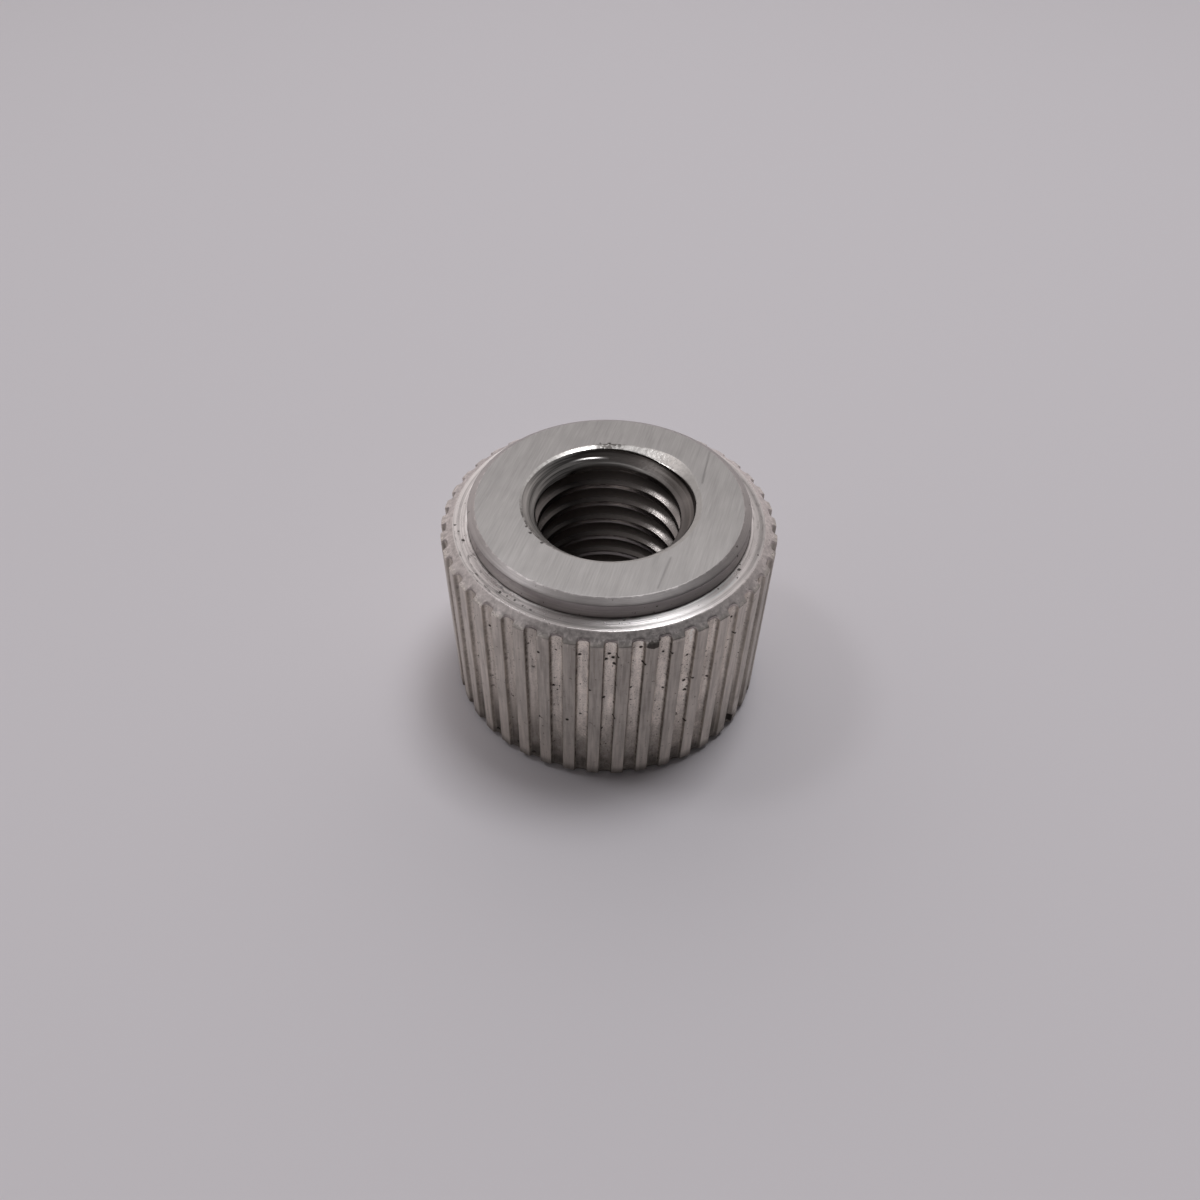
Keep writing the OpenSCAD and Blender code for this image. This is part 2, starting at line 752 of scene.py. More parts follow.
@dataclass(frozen=True)
class KnurlFinish:
    """Dull, pitted metal of the grip and its cone, with dirt and painted shade along the flutes.

    Attributes:
        metal: colour of the grip's metal.
        cone_metal: colour of the cone's metal.
        tone: lightness of the plain metal, to which its patterns add.
        streaks: strength of the upright streaks.
        clouds: strength of the broad clouds.
        rings: strength of the fine rings.
        mottle: strength of the cone's mottling.
        wear: how much lighter the worn edge at the cone's foot is.
        roughness: roughness of the clean metal.
        dirt_roughness: what dirt and painted shade add to it.
        stain_cover: how far a stain hides the metal.
        pit_cover: how far a pit does.
        foot_shade_cover: how far the painted shade near the foot does.
        smudge_cover: how far the smudge at the lower right does.
        pits: the pits that are listed one by one.
        stains: the stains that are listed one by one.
    """

    metal: Triple = (0.53, 0.487, 0.442)
    cone_metal: Triple = (0.525, 0.476, 0.466)
    tone: float = 0.555
    streaks: float = 0.155
    clouds: float = 0.3
    rings: float = 0.12
    mottle: float = 0.14
    wear: float = 0.3
    roughness: float = 0.42
    dirt_roughness: float = 0.3
    stain_cover: float = 0.8
    pit_cover: float = 0.92
    foot_shade_cover: float = 0.78
    smudge_cover: float = 0.5
    pits: tuple[Spot, ...] = GRIP_PITS
    stains: tuple[Spot, ...] = GRIP_STAINS

    def material(self, nut: KnurledNut) -> bpy.types.Material:
        """Builds the finish.

        Args:
            nut: the nut to dress.

        Returns:
            The material of the grip.
        """
        work = MetalShader("knurled_metal")
        side, z, aside = work.side, work.z, abs(work.angle)
        cut = work.attribute("cut") / (nut.knurl.depth * MM)
        sunk = cut.fade(0.5, 0.85)
        on_cone = z.fade(nut.cone_z - 0.2, nut.cone_z + 0.3) * (1 - sunk)
        streaks = work.noise(work.stretched(across=3.5, upward=0.3))
        rings = work.noise(work.stretched(across=0.1, upward=9.0), detail=2.0, roughness=0.5)
        patches = work.noise(work.stretched(across=0.9, upward=0.4))
        cloud = work.noise(work.place, scale=0.55, roughness=0.55)
        speck = work.noise(work.place, scale=3.4)
        grain = work.noise(work.place, scale=7.0, roughness=0.7)
        # The floors of the flutes are painted lightest, most of all at the front: cleaner metal with a
        # painted sheen.
        floor_polish_and_sheen = side.fade(-0.53, -0.14, 0.3, 1.0) * side.fade(0.42, 0.78, 1.0, 0.42)
        floor_polish_and_sheen *= patches.fade(0.32, 0.62, 0.6, 1.2) * z.fade(10.5, nut.cone_z, 1.0, 1.4)
        worn = z.near(nut.cone_z, 0.5) * speck.fade(0.5, 0.62) * (1 - sunk)
        # Painted shade: the grip is darker at the far right and far left.
        flanks = side.fade(0.74, 0.98, 0.0, -0.26) + side.fade(-0.87, -0.98, 0.0, -0.08)
        tone = (
            self.tone
            + (1 - 0.35 * on_cone) * streaks.fade(0.3, 0.7, -self.streaks, self.streaks)
            + self.clouds * cloud
            + self.rings * rings
            + sunk * floor_polish_and_sheen * grain.fade(0.25, 0.7, 0.25, 0.97)
            # Painted light: lighter towards the sides.
            + aside.fade(10.0, 48.0, 0.0, 0.36)
            + (1 - on_cone) * flanks
            + on_cone * speck.fade(0.3, 0.7, -self.mottle, self.mottle)
            # Painted light and shade on the cone: lighter at the right, darker at the left.
            + on_cone * side.fade(0.3, 0.75, 0.0, 0.18)
            + on_cone * side.fade(-0.4, -0.8, 0.0, -0.1)
            + self.wear * worn
            # Painted light: lighter towards the foot at the front.
            + z.fade(7.0, 0.5, 0.0, 0.32) * aside.fade(25.0, 55.0, 1.0, 0.2)
        )
        colour = work.scaled(work.tint(self.metal, self.cone_metal, on_cone), tone)
        # Dirt lies in patches and in the pits. The corners of the flutes hold dirt and painted shade, weaker
        # at the sides, and the grip takes painted shade towards the foot.
        corner_dirt_and_shade = cut.fade(0.92, 0.58) * cut.fade(0.1, 0.45)
        corner_dirt_and_shade *= speck.fade(0.32, 0.64, 0.15, 1.0) * patches.fade(0.66, 0.36, 0.55, 1.1)
        corner_dirt_and_shade *= aside.fade(12.0, 50.0, 0.7, 0.4) * side.fade(0.5, 0.8, 1.0, 0.6)
        # Painted shade: darker towards the foot, in the flutes from higher up.
        low = z.fade(8.5, 0.3) * cloud.fade(0.25, 0.6, 0.6, 1.0) * sunk
        low = work.most(low, z.fade(1.5, 0.5, 0.0, 0.7))
        dust = grain.fade(0.54, 0.68) * sunk * patches.fade(0.36, 0.62, 0.75, 0.35)
        smudge = work.angle.near(52.0, 28.0) * z.fade(6.0, 1.0) * cloud.fade(0.35, 0.6)
        rolled = work.vector("ADD", work.scaled(work.outward(), nut.grip_r), work.join(0.0, 0.0, z))
        stained = work.spots([spot.on_grip(nut.grip_r) for spot in self.stains], 0.15, rolled)
        pits = work.spots([spot.on_grip(nut.grip_r) for spot in self.pits], 0.09, rolled)
        pits = work.most(pits, speck.fade(0.655, 0.69) * (0.45 + 0.55 * sunk))
        darkened = work.most(corner_dirt_and_shade, dust, self.stain_cover * stained, self.pit_cover * pits)
        darkened = work.most(darkened, self.foot_shade_cover * low, self.smudge_cover * smudge)
        colour = work.tint(colour, DIRT_AND_SHADE, darkened)
        roughness = self.roughness + self.dirt_roughness * darkened + 0.08 * speck
        normal = work.bumped((grain, 0.008), (cloud, 0.02), (1 - pits, 0.03))
        return work.finish(colour, roughness, normal)


@dataclass(frozen=True)
class TurnedFinish:
    """Turned metal with fine marks that run round the axis.

    Attributes:
        name: the material's name.
        metal: colour of the clean metal.
        tone: lightness of the clean metal, to which its patterns add.
        clouds: strength of the broad clouds.
        lip: how much lighter the top face's edge is.
        dark_cover: how far pits and the painted shade at the boss's foot hide the metal.
        roughness: roughness of the clean metal.
        dirt_roughness: what dirt and painted shade add to it.
        anisotropy: how far the marks draw out reflections.
        marks: depth of the marks in millimetres.
        marks_per_mm: how close they lie.
        contrast: how far they show in the colour.
        smears_and_light: how far the metal is smeared and unevenly rubbed, and how strong the shoulder's
            painted light and shade are.
        lean: how far the marks lean from circles.
        pits: pits on the shoulder.
    """

    name: str = "turned_metal"
    metal: Triple = (0.37, 0.34, 0.336)
    tone: float = 0.87
    clouds: float = 0.26
    lip: float = 0.3
    dark_cover: float = 0.85
    roughness: float = 0.36
    dirt_roughness: float = 0.3
    anisotropy: float = 0.0
    marks: float = 0.004
    marks_per_mm: float = 9.0
    contrast: float = 0.16
    smears_and_light: float = 0.0
    lean: float = 0.0
    pits: tuple[Spot, ...] = ()

    def material(self, nut: KnurledNut) -> bpy.types.Material:
        """Builds the finish.

        Args:
            nut: the nut to dress.

        Returns:
            The material of the turned surfaces.
        """
        work = MetalShader(self.name)
        side, angle, r, z = work.side, work.angle, work.r, work.z
        along = r - z
        marks_place = work.join(along, 0.012 * work.x, 0.012 * work.y)
        marks = work.noise(marks_place, self.marks_per_mm, detail=4.0, roughness=0.7)
        cloud = work.noise(work.place, scale=0.8)
        speck = work.noise(work.place, scale=3.0)
        tone = self.tone + self.contrast * (marks.fade(0.34, 0.66) - 0.5) + self.clouds * cloud
        # Painted light and shade on the shoulder: darker at the far right, lighter at the right front, and
        # lighter near the boss than further out.
        tone *= side.fade(0.7, 1.0, 1.0, 1 - 0.5 * self.smears_and_light)
        tone *= 1 + 0.6 * self.smears_and_light * angle.near(52.0, 26.0)
        tone *= r.fade(nut.boss_r + 0.1, nut.boss_r + 0.7, 1 + 0.8 * self.smears_and_light, 1 - 0.15 * self.smears_and_light)
        # The top face's ragged edge shows bright against the boss's chamfer.
        ragged = work.noise(work.place, scale=2.2, roughness=0.65).fade(0.4, 0.75, -0.02, 0.16) + nut.lip_r
        lip = (r - ragged).fade(0.015, -0.015) * z.fade(nut.shoulder_z, nut.shoulder_z + 0.3)
        colour = work.scaled(self.metal, tone * (1 + self.lip * lip))
        # Painted shade in the corner at the boss's foot.
        foot = r.near(nut.boss_r, 0.14) * z.near(nut.shoulder_z, 0.22) * cloud.fade(0.25, 0.6, 0.55, 1.0)
        smeared = work.noise(work.join(0.22 * angle, 5.0 * along, 1.0), detail=4.0, roughness=0.65)
        smeared = smeared.fade(0.53, 0.65) * (angle.near(-57.0, 40.0) + 0.5 * angle.near(95.0, 42.0))
        pits = work.spots([spot.on_face(nut.shoulder_z) for spot in self.pits])
        pits = work.most(speck.fade(0.69, 0.72), pits)
        # Pits are real marks; the boss's foot and the chamfer at the bottom darken as painted shade.
        darkened = work.most(self.dark_cover * foot, self.dark_cover * pits, z.fade(0.7, 0.2, 0.0, 0.9))
        darkened = work.most(darkened, 1.3 * self.smears_and_light * smeared)
        colour = work.tint(colour, DIRT_AND_SHADE, darkened)
        roughness = self.roughness + self.dirt_roughness * darkened + 0.06 * cloud
        normal = work.bumped((marks, self.marks), (1 - pits, 0.002))
        return work.finish(colour, roughness, normal, self.anisotropy, work.outward(self.lean))


@dataclass(frozen=True)
class SandedFinish:
    """Flat metal rubbed on abrasive paper in one direction.

    Attributes:
        metal: colour of the clean metal.
        tone: lightness of the metal, to which its patterns add.
        fine: strength of the fine lines.
        broad: strength of the broad lines.
        clouds: strength of the broad clouds.
        scratch: how much darker a scratch is.
        dark_cover: how far a spot of dirt hides the metal.
        roughness: roughness of the metal.
        anisotropy: how far the lines draw out reflections.
        direction_deg: direction of the lines, to the right of straight back.
        spots: spots of dirt at the hole's edge.
        scratches: the two ends of each deep scratch.
    """

    metal: Triple = (0.42, 0.405, 0.4)
    tone: float = 0.5
    fine: float = 0.45
    broad: float = 0.35
    clouds: float = 0.2
    scratch: float = 0.12
    dark_cover: float = 0.85
    roughness: float = 0.42
    anisotropy: float = 0.5
    direction_deg: float = 16.0
    spots: tuple[Spot, ...] = TOP_SPOTS
    scratches: tuple[tuple[Spot, ...], ...] = TOP_SCRATCHES

    def material(self, nut: KnurledNut) -> bpy.types.Material:
        """Builds the finish.

        Args:
            nut: the nut to dress.

        Returns:
            The material of the top face.
        """
        work = MetalShader("sanded_metal")
        turn = math.radians(self.direction_deg)
        across = (math.cos(turn), -math.sin(turn), 0.0)
        u = work.measure("DOT_PRODUCT", work.place, across)
        v = work.measure("DOT_PRODUCT", work.place, (math.sin(turn), math.cos(turn), 0.0))
        fine = work.noise(work.join(9.0 * u, 0.35 * v, 0.0))
        broad = work.noise(work.join(1.6 * u, 0.16 * v, 3.0))
        cloud = work.noise(work.place, scale=0.45, detail=2.0, roughness=0.5)
        scratched = broad.fade(0.68, 0.74)
        for ends in self.scratches:
            (start, half_width), (end, _) = [spot.on_face(nut.height) for spot in ends]
            scratched += 2.2 * work.scratch(start, end, half_width)
        tone = self.tone + self.fine * fine + self.broad * broad + self.clouds * cloud
        # Painted shade: the face darkens towards the back. Scratches are darker.
        tone += work.y.fade(-6.0, 8.0, 0.01, -0.08) - self.scratch * scratched
        spotted = work.spots([spot.on_face(nut.height) for spot in self.spots])
        colour = work.tint(work.scaled(self.metal, tone), DIRT_AND_SHADE, self.dark_cover * spotted)
        roughness = self.roughness + 0.1 * fine
        normal = work.bumped((fine, 0.005), (1 - scratched, 0.006))
        return work.finish(colour, roughness, normal, self.anisotropy, work.join(*across))


@dataclass(frozen=True)
class RimFinish:
    """Bright metal of the edge that was scraped round the hole, with painted glints at the back.

    Attributes:
        metal: colour of the clean metal.
        tone: lightness of the dull stretches, to which the patterns add.
        shine: how much lighter the bright stretches are, a painted glint.
        chatter: strength of the tool's chatter marks.
        clouds: strength of the broad clouds.
        dark_cover: how far dirt hides the metal.
        roughness: roughness of the bright stretches.
        spots: spots of dirt along the rim.
    """

    metal: Triple = (0.66, 0.63, 0.61)
    tone: float = 0.38
    shine: float = 0.65
    chatter: float = 0.2
    clouds: float = 0.15
    dark_cover: float = 0.85
    roughness: float = 0.26
    spots: tuple[Spot, ...] = TOP_SPOTS

    def material(self, nut: KnurledNut) -> bpy.types.Material:
        """Builds the finish.

        Args:
            nut: the nut to dress.

        Returns:
            The material of the scraped rim.
        """
        work = MetalShader("scraped_metal")
        angle = work.angle
        chatter = work.noise(work.stretched(across=2.7, upward=0.5))
        cloud = work.noise(work.place, scale=1.1, detail=2.0, roughness=0.5)
        # Painted glints: the stretches at the back right and back left are lighter, and smoother as well.
        bright = work.most(angle.near(137.0, 24.0), angle.near(-160.0, 24.0))
        bright *= chatter.fade(0.36, 0.6, 0.5, 1.0)
        tone = self.tone + self.shine * bright + self.chatter * chatter + self.clouds * cloud
        torn = (180 - abs(angle)).fade(14.0, 6.0) * chatter.fade(0.4, 0.55)
        smeared = angle.near(-62.0, 45.0) * chatter.fade(0.35, 0.6)
        spotted = work.spots([spot.on_face(nut.height) for spot in self.spots])
        darkened = work.most(0.8 * torn, self.dark_cover * smeared, self.dark_cover * spotted)
        colour = work.tint(work.scaled(self.metal, tone), DIRT_AND_SHADE, darkened)
        roughness = self.roughness + 0.2 * (1 - bright)
        normal = work.bumped((chatter, 0.03), (cloud, 0.03))
        return work.finish(colour, roughness, normal)


@dataclass(frozen=True)
class ThreadFinish:
    """Cut metal of the thread, dull with old oil.

    Attributes:
        metal: colour of the crests.
        oil: colour of the oiled groove.
        bare: colour of the countersink's bare metal.
        first_turn_dark: dark colour that the first turn takes at the right and the back.
        burr_and_glint: colour of the raised ridge where the first crest starts, painted lighter as a glint.
        roughness: roughness of the clean metal.
    """

    metal: Triple = (0.34, 0.31, 0.3)
    oil: Triple = (0.36, 0.325, 0.31)
    bare: Triple = (0.5, 0.475, 0.46)
    first_turn_dark: Triple = (0.04, 0.034, 0.031)
    burr_and_glint: Triple = (0.8, 0.77, 0.76)
    roughness: float = 0.2

    def material(self, nut: KnurledNut) -> bpy.types.Material:
        """Builds the finish.

        Args:
            nut: the nut to dress.

        Returns:
            The material of the thread.
        """
        work = MetalShader("tapped_metal")
        side, angle, r = work.side, work.angle, work.r
        below = nut.height - work.z
        cloud = work.noise(work.place, scale=0.9)
        speck = work.noise(work.place, scale=4.0)
        turning = work.noise(work.join(7.0 * r, 0.1 * work.x, 0.1 * work.y), roughness=0.5)
        # Random clouds, and painted shade that darkens the thread at the left.
        colour = work.scaled(self.metal, (0.7 + 0.6 * cloud) * side.fade(-0.25, -0.8, 1.0, 0.5))
        sunk = r.fade(nut.thread.root_r - 0.68, nut.thread.root_r - 0.42)
        on_cone = (r + below - nut.mouth_r).fade(0.05, 0.01)
        oily = sunk * speck.fade(0.3, 0.6, 0.75, 1.0) * (1 - on_cone)
        colour = work.tint(colour, self.oil, work.most(oily, below.fade(1.5, 7.0, 0.1, 0.35)))
        bare = work.scaled(self.bare, turning.fade(0.35, 0.65, 0.25, 1.2))
        colour = work.tint(colour, bare, on_cone)
        # The first turn darkens at the right and the back, streaked along the turning marks.
        at_right = work.most(angle.near(125.0, 50.0), 0.8 * angle.near(80.0, 65.0)) * below.fade(3.0, 2.2)
        at_back = (180 - abs(angle)).fade(42.0, 8.0, 0.0, 0.75) * below.fade(1.9, 1.4)
        first_turn_darkening = work.most(at_right, at_back) * turning.fade(0.62, 0.42, 0.8, 0.98)
        colour = work.tint(colour, self.first_turn_dark, first_turn_darkening)
        # A raised ridge where the first crest starts, painted lighter as a glint.
        climb = (angle + 180) * (nut.thread.pitch / 360)
        burr_and_glint = (below + climb).near(0.69, 0.1) * angle.near(-165.0, 18.0)
        colour = work.tint(colour, self.burr_and_glint, burr_and_glint)
        dull = oily * below.fade(1.1, 2.0)
        roughness = self.roughness + 0.35 * dull + 0.08 * speck + 0.2 * first_turn_darkening + 0.2 * on_cone
        normal = work.bumped((speck, 0.008), (turning, 0.006), (burr_and_glint, 0.04))
        return work.finish(colour, roughness, normal)


FINISHES: dict[Zone, Finish] = {
    Zone.KNURL: KnurlFinish(),
    Zone.TURNED: TurnedFinish(),
    Zone.SHOULDER: TurnedFinish(
        name="faced_metal",
        metal=(0.7, 0.662, 0.655),
        roughness=0.25,
        anisotropy=0.85,
        marks=0.02,
        marks_per_mm=4.5,
        contrast=0.55,
        smears_and_light=0.5,
        lean=-0.13,
        pits=SHOULDER_PITS,
    ),
    Zone.SANDED: SandedFinish(),
    Zone.RIM: RimFinish(),
    Zone.THREAD: ThreadFinish(),
}


@dataclass
class KnurledNut:
    """The nut itself. Lengths are in millimetres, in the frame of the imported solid.

    Attributes:
        grip_r: radius over the lands of the grip.
        height: height of the whole nut.
        core_r: radius of the hole's core.
        cone_w: width of the cone at the top of the grip.
        cone_h: height of that cone.
        foot_chamfer_w: width of the chamfer round the bottom face.
        foot_chamfer_h: height of that chamfer.
        boss_r: radius of the boss.
        boss_h: height of the boss above the shoulder.
        boss_chamfer_w: width of the boss's chamfer.
        boss_chamfer_h: height of that chamfer.
        mouth_r: radius of the countersink at each face.
        rim_band: width of the band round the upper mouth that is moved onto the scraped rim.
        rim_clear_r: radius past which the top face is left alone.
        edge: distance over which most edges are broken.
        top_edge: the same for the top face's edge.
        cone_edge: the same for the cone's foot.
        wear_depth: greatest depth of the nicks in the edges.
        merge_gap: distance at which points of the two grids are joined.
    """

    grip_r: float
    height: float
    core_r: float
    cone_w: float = 0.9
    cone_h: float = 0.6
    foot_chamfer_w: float = 0.6
    foot_chamfer_h: float = 0.45
    boss_r: float = 10.0
    boss_h: float = 1.4
    boss_chamfer_w: float = 0.55
    boss_chamfer_h: float = 0.3
    mouth_r: float = 6.2
    rim_band: float = 0.3
    rim_clear_r: float = 7.3
    edge: float = 0.05
    top_edge: float = 0.012
    cone_edge: float = 0.03
    wear_depth: float = 0.02
    merge_gap: float = 0.002
    knurl: Knurl = field(default_factory=Knurl)
    thread: Thread = field(default_factory=Thread)
    rim: Rim = field(default_factory=Rim)

    @classmethod
    def from_frame(cls, frame: dict[str, Any]) -> KnurledNut:
        """Reads the nut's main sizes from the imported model.

        Args:
            frame: what the frame loader returned.

        Returns:
            The nut at those sizes.
        """
        low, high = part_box("nut")
        mounts = {mount["name"]: mount for mount in frame["record"]["mounts"]}
        return cls(
            grip_r=round((high.x - low.x) / 2 / MM, 2),
            height=round((high.z - low.z) / MM, 2),
            core_r=mounts["thread"]["dims"]["r_mm"],
        )

    @property
    def shoulder_z(self) -> float:
        """Height of the flat shoulder round the boss."""
        return self.height - self.boss_h

    @property
    def cone_z(self) -> float:
        """Height of the cone's foot."""
        return self.shoulder_z - self.cone_h

    @property
    def lip_r(self) -> float:
        """Radius of the top face's edge."""
        return self.boss_r - self.boss_chamfer_w

    @property
    def band_r(self) -> float:
        """Outer radius of the band that is moved onto the scraped rim."""
        return self.mouth_r + self.rim_band

    def section(self) -> list[OutlinePoint]:
        """Half section of the outside, from the lower mouth of the hole round to the upper one.

        Returns:
            The points of the section in order.
        """
        edge = self.edge
        corners = [
            Corner(self.mouth_r, 0.0, spacing=1.3),
            Corner(self.grip_r - self.foot_chamfer_w, 0.0, edge, spacing=0.12),
            Corner(self.grip_r, self.foot_chamfer_h, edge, Zone.KNURL, spacing=1.5),
            Corner(self.grip_r, self.cone_z, self.cone_edge, Zone.KNURL, spacing=0.1),
            Corner(self.grip_r - self.cone_w, self.shoulder_z, edge, Zone.SHOULDER, spacing=0.2),
            Corner(self.boss_r, self.shoulder_z, edge, spacing=0.3),
            Corner(self.boss_r, self.height - self.boss_chamfer_h, edge, spacing=0.2),
            Corner(self.lip_r, self.height, self.top_edge, Zone.SANDED, spacing=0.9),
            Corner(self.rim_clear_r, self.height, 0.0, Zone.SANDED),
            Corner(self.band_r, self.height, 0.0, Zone.RIM, spacing=self.rim_band / self.rim.rows),
            Corner(self.mouth_r, self.height),
        ]
        return rounded_outline(corners)

    def outlines(self) -> dict[str, bpy.types.Object]:
        """Objects whose points hold the outlines that the skin's node tree reads.

        Returns:
            The objects by the name of their input.
        """
        points = self.section()
        rows = [(p.x * MM, p.exposed, p.y * MM) for p in points]
        return {
            "Section": point_list("nut_section", rows, [p.zone.value for p in points]),
            "Flute Sector": point_list("flute_sector", self.knurl.sector(self.grip_r)),
            "Thread Turn": point_list("thread_turn", self.thread.turn(self.core_r)),
        }

    def inputs(self) -> dict[str, dict[str, Any]]:
        """Named inputs of the skin's node tree.

        Returns:
            For each type of socket, the inputs' values by name. Lengths are in metres, angles in radians.
        """
        lengths = {
            "Grip Radius": self.grip_r,
            "Height": self.height,
            "Mouth Radius": self.mouth_r,
            "Band Radius": self.band_r,
            "Thread Pitch": self.thread.pitch,
            "Thread Top": self.thread.top(self.height),
            "Rim Radius": self.rim.radius,
            "Rim Offset": self.rim.offset,
            "Rim Scrape": self.rim.scrape,
            "Rim Least": self.rim.least,
            "Wear Depth": self.wear_depth,
            "Merge Gap": self.merge_gap,
        }
        angles = {
            "Rim Direction": self.rim.toward_deg,
            "Rim Slope": self.rim.slope_deg,
            "Lean": self.knurl.lean,
        }
        floats = {name: length * MM for name, length in lengths.items()}
        floats.update({name: math.radians(angle) for name, angle in angles.items()})
        floats["Rim Focus"] = self.rim.focus
        return {
            "NodeSocketObject": self.outlines(),
            "NodeSocketInt": {
                "Flute Count": self.knurl.count,
                "Thread Turns": self.thread.turns(self.height),
            },
            "NodeSocketFloat": floats,
            "NodeSocketMaterial": {zone.finish: look.material(self) for zone, look in FINISHES.items()},
        }

    def build(self) -> bpy.types.Object:
        """Builds and dresses the nut.

        Returns:
            The finished piece, riding on the nut's body.
        """
        inputs = self.inputs()
        values = {name: value for group in inputs.values() for name, value in group.items()}
        start = new_object("nut_start", bpy.data.meshes.new("nut_start"))
        modifier = start.modifiers.new("skin", "NODES")
        modifier.node_group = SkinTree(inputs).build()
        for item in modifier.node_group.interface.items_tree:
            if item.in_out == "INPUT":
                modifier[item.identifier] = values[item.name]
        graph = bpy.context.evaluated_depsgraph_get()
        mesh = bpy.data.meshes.new_from_object(start.evaluated_get(graph))
        mesh.name = "knurled_nut"
        weight_normals(mesh)
        piece = new_object("knurled_nut", mesh)
        for helper in [start, *inputs["NodeSocketObject"].values()]:
            bpy.data.objects.remove(helper)
        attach(piece, "root")
        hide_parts("nut")
        return piece


class SkinTree(NodeWork):
    """Geometry Nodes that wrap the nut's skin."""

    # How close two lengths are taken as equal, as a share of the band's width
    ROUNDING = 0.001
    # Size of the nicks in the edges, as the scale of a noise over metres
    NICK_SCALE = 900.0
    # Sockets of a Compare node for whole numbers, whose names other kinds of comparison share
    COMPARE_FIRST = 2
    COMPARE_SECOND = 3

    def __init__(self, inputs: dict[str, dict[str, Any]]) -> None:
        """Starts the tree with its named inputs.

        Args:
            inputs: for each type of socket, the inputs' values by name.
        """
        super().__init__(bpy.data.node_groups.new("Knurled nut skin", "GeometryNodeTree"))
        for kind, group in inputs.items():
            for name in group:
                self.tree.interface.new_socket(name=name, in_out="INPUT", socket_type=kind)
        self.tree.interface.new_socket(name="Skin", in_out="OUTPUT", socket_type="NodeSocketGeometry")
        self.given = self.add("NodeGroupInput").outputs

    def size(self, name: str) -> Number:
        """An input that is a number."""
        return Number(self, self.given[name])

    def points(self, name: str) -> tuple[Socket, Number]:
        """Geometry of an input object, and the number of its points."""
        geometry = self.call("GeometryNodeObjectInfo", "Geometry", {"Object": self.given[name]})
        return geometry, self.number("GeometryNodeAttributeDomainSize", "Point Count", {0: geometry})

    def position(self) -> Socket:
        """Where each point is."""
        return self.add("GeometryNodeInputPosition").outputs[0]

    def read(self, geometry: Socket, value: Any, index: Any, kind: str) -> Socket:
        """A value at one point of a geometry."""
        inputs = {"Geometry": geometry, "Value": value, "Index": index}
        return self.call("GeometryNodeSampleIndex", "Value", inputs, data_type=kind, clamp=True)

    def row_of(self, geometry: Socket, index: Number) -> list[Number]:
        """Three numbers that a point list holds at an index."""
        return self.split(self.read(geometry, self.position(), index, "FLOAT_VECTOR"))

    def named(self, name: str, kind: str = "FLOAT") -> Number:
        """A named attribute."""
        return self.number("GeometryNodeInputNamedAttribute", "Attribute", {"Name": name}, data_type=kind)

    def store(
        self, mesh: Socket, name: str, value: Any, kind: str = "FLOAT", domain: str = "POINT"
    ) -> Socket:
        """Writes a named attribute."""
        inputs = {"Geometry": mesh, "Name": name, "Value": value}
        return self.call("GeometryNodeStoreNamedAttribute", 0, inputs, data_type=kind, domain=domain)

    def place(self, geometry: Socket, position: Socket, selection: Any = True) -> Socket:
        """Moves points to new places."""
        inputs = {"Geometry": geometry, "Position": position, "Selection": selection}
        return self.call("GeometryNodeSetPosition", 0, inputs)

    def wrapped(self, r: Number, angle: Number, z: Number) -> Socket:
        """Position at a radius, an angle from the front and a height."""
        return self.join(r * self.math("SINE", angle), -r * self.math("COSINE", angle), z)

    def grid(self, columns: Number, rows: Number) -> tuple[Socket, Number, Number, Number]:
        """A flat grid.

        Args:
            columns: number of columns.
            rows: number of rows.

        Returns:
            The mesh, each point's column, its row, and its share of the way up the rows.
        """
        mesh = self.call("GeometryNodeMeshGrid", "Mesh", {"Vertices X": columns, "Vertices Y": rows})
        u, v, _ = self.split(mesh.node.outputs["UV Map"])
        return mesh, round(u * (columns - 1)), round(v * (rows - 1)), v

    def outside(self) -> Socket:
        """Outside of the nut: one sector with its flute, repeated round the axis.

        Returns:
            The mesh of the outside.
        """
        section, rows = self.points("Section")
        sector, columns = self.points("Flute Sector")
        mesh, column, row, v = self.grid(columns, rows)
        angle, depth, _ = self.row_of(sector, column)
        blank_r, exposed, z = self.row_of(section, row)
        r = self.least(blank_r, self.size("Grip Radius") - depth)
        mesh = self.place(mesh, self.wrapped(r, angle, z))
        band_r = self.size("Band Radius")
        in_band = (band_r - blank_r) / (band_r - self.size("Mouth Radius"))
        on_band = z.above(self.size("Height") / 2) * in_band.above(-self.ROUNDING)
        mesh = self.store(mesh, "rim", on_band * (1 + in_band))
        mesh = self.store(mesh, "cut", blank_r - r)
        mesh = self.store(mesh, "exposed", exposed)
        stretch = self.math("FLOOR", v * (rows - 1))
        zone = Number(self, self.read(section, self.named("zone", "INT"), stretch, "INT"))
        is_cut = self.named("cut").above(self.size("Merge Gap"))
        mesh = self.store(mesh, "zone", zone * (1 - is_cut), "INT", "FACE")
        spread = self.call("GeometryNodePoints", 0, {"Count": self.size("Flute Count")})
        number = self.number("GeometryNodeInputIndex", 0, {})
        turn = self.join(0.0, 0.0, number * (FULL_TURN / self.size("Flute Count")))
        inputs = {"Points": spread, "Instance": mesh, "Rotation": turn}
        copies = self.call("GeometryNodeInstanceOnPoints", 0, inputs)
        return self.call("GeometryNodeRealizeInstances", 0, {0: copies})

